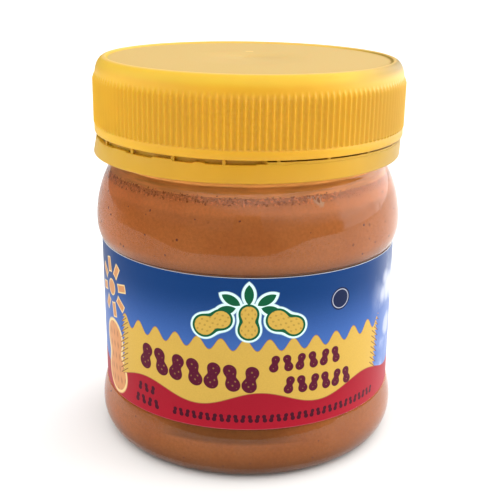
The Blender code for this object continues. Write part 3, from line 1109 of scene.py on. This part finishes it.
def rib_height(lid, radius, height):
    """How far a rib stands out at a height: round at its top end, and down into the bead at its foot."""
    if not lid.grip_foot < height < lid.grip_top:
        return 0.0
    crown = min(1.0, (lid.grip_top - height) / (0.7 * MM))
    return max(0.0, (lid.grip_radius - radius) * sqrt(crown * (2 - crown)))


class JAR_OT_mould_cap(Operator):
    """Model one rib of the screw cap and repeat it round the axis"""

    bl_idname = "jar.mould_cap"
    bl_label = "Mould Screw Cap"

    def execute(self, context):
        lid = context.scene.lid_shape
        pitch = tau / lid.ribs
        skirt = lid.groove_radius - lid.cap_wall
        under = lid.disc_height - lid.cap_plate
        skin, disc = cap_skin(lid), cap_disc(lid)
        inside = [(skirt, lid.lower_edge), (skirt, under - 0.6 * MM)]
        inside += [(skirt - 0.6 * MM, under), (0.0, under)]
        piece = begin("screw_cap")
        for outline, columns in ((skin, len(RIB_RISE) - 1), (disc, 1), (inside, 1)):
            if outline is not skin:
                add_vertex()
            draw(outline)
            bpy.ops.mesh.select_linked()
            spin(columns, -pitch)
        self.raise_rib(lid, skin, pitch)
        self.join_rows(skin[0], disc[0])
        self.join_rows(skin[-1], inside[0])
        close_up()
        repeat_round(piece, lid.ribs)
        bpy.ops.object.mode_set(mode="EDIT")
        close_up()
        lower_right(lid.cap_tilt, lid.lower_edge)
        return done(piece, yellow_plastic(lid), "lid", smooth=50.0)

    def raise_rib(self, lid, skin, pitch):
        """Moves the wedge's middle columns out, row by row."""
        for column, rise in enumerate(RIB_RISE):
            bearing = pitch * column / (len(RIB_RISE) - 1)
            out = Vector((cos(bearing), sin(bearing), 0.0))
            for radius, height in skin:
                stand = rib_height(lid, radius, height) * rise
                if stand > 0.0:
                    spot = out * radius + Vector((0.0, 0.0, height))
                    pick(lambda at: (at - spot).length < 0.01 * MM)
                    move(*(out * stand))

    def join_rows(self, *rows):
        """Bridges two rows of the wedge's edges, each given by its radius and height."""

        def on_row(at):
            radius = hypot(at.x, at.y)
            return any(abs(radius - row[0]) < 0.03 * MM and abs(at.z - row[1]) < 0.005 * MM for row in rows)

        pick(on_row, "EDGE")
        bpy.ops.mesh.bridge_edge_loops()


class JAR_OT_mould_band(Operator):
    """Model the tamper band, with its torn upper edge and the bridges that join it to the cap"""

    bl_idname = "jar.mould_band"
    bl_label = "Mould Tamper Band"

    def execute(self, context):
        lid = context.scene.lid_shape
        outer, inner = lid.band_radius, lid.band_radius - lid.cap_wall
        top = outer - BAND_FLARE
        section = [(top - 0.18 * MM, lid.band_top), (top - 0.05 * MM, lid.band_top - 0.06 * MM)]
        section += [(top, lid.band_top - 0.2 * MM), (outer, lid.band_foot + 0.45 * MM)]
        section += quarter(section[-1], (outer - 0.45 * MM, lid.band_foot), True, 4)
        section += [(inner, lid.band_foot), (inner, lid.band_top)]
        piece = begin("tamper_band")
        turn(section + section[:1], BAND_ROUND)
        for height in {point[1] for point in section}:
            pick(lambda at: abs(at.z - height) < 0.01 * MM)
            move(BAND_LEAN * (height - lid.band_top), 0.0, 0.0)
        self.tear_edge(lid)
        bpy.ops.mesh.select_all(action="SELECT")
        lower_right(lid.band_tilt, lid.band_top)
        others = self.make_bridges(lid), self.make_web(lid)
        only(piece)
        for other in others:
            other.select_set(True)
        bpy.ops.object.join()
        return done(piece, yellow_plastic(lid), "lid", smooth=40.0)

    def tear_edge(self, lid):
        """Lifts a stretch of the upper edge between each two bridges, where less plastic has torn away."""
        chance = random.Random(3)
        span = tau / lid.bridges
        for index in range(lid.bridges):
            start = FIRST_BRIDGE + (index + chance.uniform(0.05, 0.6)) * span
            end = start + chance.uniform(0.15, 0.5) * span
            lift = chance.uniform(0.05, 0.32) * MM

            def torn(at):
                bearing = (atan2(at.x, -at.y) - start) % tau
                return at.z > lid.band_top - 0.1 * MM and bearing < end - start

            pick(torn)
            move(0.0, 0.0, lift)

    def make_web(self, lid):
        """The thin web at the bottom of the slit, joined to the cap, or torn and bent out at the right."""
        outer, inner = WEB_RADIUS, WEB_RADIUS - WEB_WALL
        low, high = lid.band_top - WEB_REACH, lid.lower_edge + WEB_REACH
        section = [(outer, low), (outer, high), (inner, high), (inner, low)]
        web = begin("slit_web")
        turn(section + section[:1], ROUND)
        bend = (lid.band_radius - BAND_FLARE - 0.12 * MM) / outer
        pick(lambda at: TORN_FROM < atan2(at.x, -at.y) < TORN_TO)
        bpy.ops.transform.resize(value=(bend, bend, 1.0), center_override=(0.0, 0.0, 0.0))
        pick(lambda at: at.z > lid.lower_edge and TORN_FROM < atan2(at.x, -at.y) < TORN_TO)
        move(0.0, 0.0, -WEB_REACH - WEB_GAP)
        pick(lambda at: at.z > (low + high) / 2)
        lower_right(lid.cap_tilt, lid.lower_edge)
        return web

    def make_bridges(self, lid):
        """One bridge with soft edges, repeated round the axis."""
        deep, wide, overlap = 0.6 * MM, 0.7 * MM, 0.5 * MM
        tall = lid.lower_edge - lid.band_top + 2 * overlap
        deselect()
        bpy.ops.mesh.primitive_cube_add(size=1.0)
        bridges = named("bridges")
        bpy.ops.object.mode_set(mode="EDIT")
        bpy.ops.transform.resize(value=(wide, deep, tall))
        bpy.ops.mesh.bevel(offset=0.12 * MM, segments=2)
        move(0.0, -(lid.band_radius - 0.45 * MM - deep / 2), (lid.lower_edge + lid.band_top) / 2)
        bpy.ops.transform.rotate(value=-FIRST_BRIDGE, orient_axis="Z", center_override=(0.0, 0.0, 0.0))
        repeat_round(bridges, lid.bridges)
        return bridges


# The studio


def cloth_cover(bearing, height, radius):
    """How dark the floor's cloth is: darkest near the jar in front as the jar's painted shadow, further off
    at the left, bare at the right.
    """
    left = 1 - bearing.eased(-80, -30)
    # Painted shadow: the cloth is darker close to the jar in front.
    ahead = ((1 - radius.eased(0.045, 0.075)) * 0.3 + 0.28) * (1 - left * 0.6)
    return (ahead + left * radius.eased(0.09, 0.13) * 0.36) * (1 - bearing.eased(20, 60))


def flag_cover(bearing, height, radius):
    """How dark the flag is: up from over the floor, highest at the camera, thin at the far right."""
    foot = (1 - bearing.eased(-72, -36)) * 0.028 + bearing.eased(9, 46) * 0.042 + 0.008
    head = (1 - abs(bearing).eased(8, 11)) * 0.053 + 0.0706
    tall = height.eased(foot - 0.0015, foot + 0.0015) * (1 - height.eased(head, head + 0.016))
    right = (1 - bearing.eased(63, 70) * 0.8) * (1 - bearing.eased(98, 102))
    return tall * bearing.eased(-116, -84) * right


class JAR_OT_set_studio(Operator):
    """Set the pale floor, the soft lights, the dark flag in front and the camera"""

    bl_idname = "jar.set_studio"
    bl_label = "Set Studio"

    def execute(self, context):
        studio = context.scene.studio_set
        self.lay_floor(studio)
        self.add_card("floor_cloth", CLOTH_ENDS, cloth_cover)
        self.add_card("front_flag", FLAG_ENDS, flag_cover)
        self.hang_softbox(studio)
        self.light_world(context, studio)
        self.set_camera(context, studio)
        context.scene.view_settings.view_transform = "Standard"
        return {"FINISHED"}

    def lay_floor(self, studio):
        deselect()
        bpy.ops.mesh.primitive_plane_add(size=FLOOR_WIDTH)
        floor = named("floor")
        paint = Paint("floor", Roughness=0.9, Specular_IOR_Level=0.1)
        tone = paint.graded(paint.noise(paint.place(), 3.0), studio.floor, 0.99, 1.0)
        floor.data.materials.append(paint.feed(Base_Color=tone))

    def add_card(self, name, ends, cover):
        """A dark card round the jar, turned from a line between two points, which only reflections see."""
        card = begin(name)
        turn(ends, COARSE_ROUND)
        deselect()
        paint = Paint(name, Specular_IOR_Level=0.0, Base_Color=ink((0, 0, 0)))
        x, y, height = paint.axes(paint.place())
        bearing = paint.bearing(x, y) * degrees(1)
        card.data.materials.append(paint.feed(Alpha=cover(bearing, height, far(x, y))))
        card.visible_camera = card.visible_diffuse = card.visible_shadow = card.visible_transmission = False

    def hang_softbox(self, studio):
        light = bpy.data.lights.new("softbox_overhead", "AREA")
        light.size = SOFTBOX_WIDTH
        light.energy = studio.top_light
        box = bpy.data.objects.new("softbox_overhead", light)
        bpy.context.scene.collection.objects.link(box)
        facing = (SOFTBOX_AIM - SOFTBOX_PLACE).to_track_quat("-Z", "Y").to_matrix().to_4x4()
        box.matrix_world = Matrix.Translation(SOFTBOX_PLACE) @ facing
        box.visible_camera = False

    def light_world(self, context, studio):
        """Pale surroundings, dim behind the camera, brightest at the right and white to the camera."""
        world = bpy.data.worlds.new("studio")
        context.scene.world = world
        world.use_nodes = True
        web = Web(world.node_tree)
        x, y, z = web.axes(web.node("ShaderNodeTexCoord", {}, {}, out="Generated"))
        bearing = web.bearing(x, y) * degrees(1)
        behind_camera = bearing.eased(-106, -92) * (1 - bearing.eased(66, 76))
        right = bearing.eased(58, 76) * (1 - bearing.eased(140, 175))
        mirrored = web.node("ShaderNodeLightPath", {}, {}, out="Is Glossy Ray")
        sides = right * studio.right + (1 - mirrored * 0.75) * studio.around
        key = (mirrored * (1 - studio.key_share) + studio.key_share) * studio.key
        ahead = (z + x * 0.25).eased(0.32, 0.56) * key + z.eased(0.0, 0.35) * 0.2 + studio.dim
        fill = x * x * (1 - x * 0.3) * (1 - mirrored) * studio.fill
        low = ahead * behind_camera + sides * (1 - behind_camera) + fill
        upward = z.eased(0.6, 0.95)
        strength = low * (1 - upward) + upward * (1 - mirrored * 0.6) * studio.overhead
        seen = web.node("ShaderNodeLightPath", {}, {}, out="Is Camera Ray")
        strength = seen + strength * (1 - seen)
        background = world.node_tree.nodes["Background"]
        background.inputs["Color"].default_value = (1.0, 1.0, 1.0, 1.0)
        web.tree.links.new(strength.socket, background.inputs["Strength"])

    def set_camera(self, context, studio):
        data = bpy.data.cameras.new("camera")
        data.lens = studio.lens
        data.shift_x = studio.shift
        data.clip_start = 0.01
        camera = bpy.data.objects.new("camera", data)
        context.scene.collection.objects.link(camera)
        look_down = Matrix.Rotation(pi / 2 - studio.pitch, 4, "X")
        spot = Matrix.Translation((0.0, -studio.distance, studio.height))
        camera.matrix_world = spot @ look_down @ Matrix.Rotation(studio.roll, 4, "Z")
        context.scene.camera = camera


class JAR_PT_maker(Panel):
    """Lists the pieces of the jar in the order in which they are made"""

    bl_label = "Peanut Butter Jar"
    bl_space_type = "VIEW_3D"
    bl_region_type = "UI"
    bl_category = "Jar"

    def draw(self, context):
        for group, name in GROUPS.items():
            box = self.layout.box()
            box.label(text=group.__doc__)
            for setting in group.__annotations__:
                box.prop(getattr(context.scene, name), setting)
        for step in STEPS:
            self.layout.operator(step.bl_idname)


GROUPS = {
    JarShape: "jar_shape",
    FillingLook: "filling_look",
    LabelPrint: "label_print",
    LidShape: "lid_shape",
    StudioSet: "studio_set",
}

STEPS = (
    JAR_OT_blow_wall,
    JAR_OT_pour_butter,
    JAR_OT_trap_bubbles,
    JAR_OT_smear_neck,
    JAR_OT_scatter_crumbs,
    JAR_OT_wrap_label,
    JAR_OT_mould_cap,
    JAR_OT_mould_band,
    JAR_OT_set_studio,
)


def register():
    for each in (*GROUPS, *STEPS, JAR_PT_maker):
        bpy.utils.register_class(each)
    for group, name in GROUPS.items():
        setattr(bpy.types.Scene, name, PointerProperty(type=group))


def unregister():
    for name in GROUPS.values():
        delattr(bpy.types.Scene, name)
    for each in reversed((*GROUPS, *STEPS, JAR_PT_maker)):
        bpy.utils.unregister_class(each)


def main():
    register()
    bpy.ops.jar.blow_wall()
    bpy.ops.jar.pour_butter()
    bpy.ops.jar.trap_bubbles()
    bpy.ops.jar.smear_neck()
    bpy.ops.jar.scatter_crumbs()
    bpy.ops.jar.wrap_label()
    bpy.ops.jar.mould_cap()
    bpy.ops.jar.mould_band()
    bpy.ops.jar.set_studio()
    deselect()


if __name__ == "__main__":
    main()
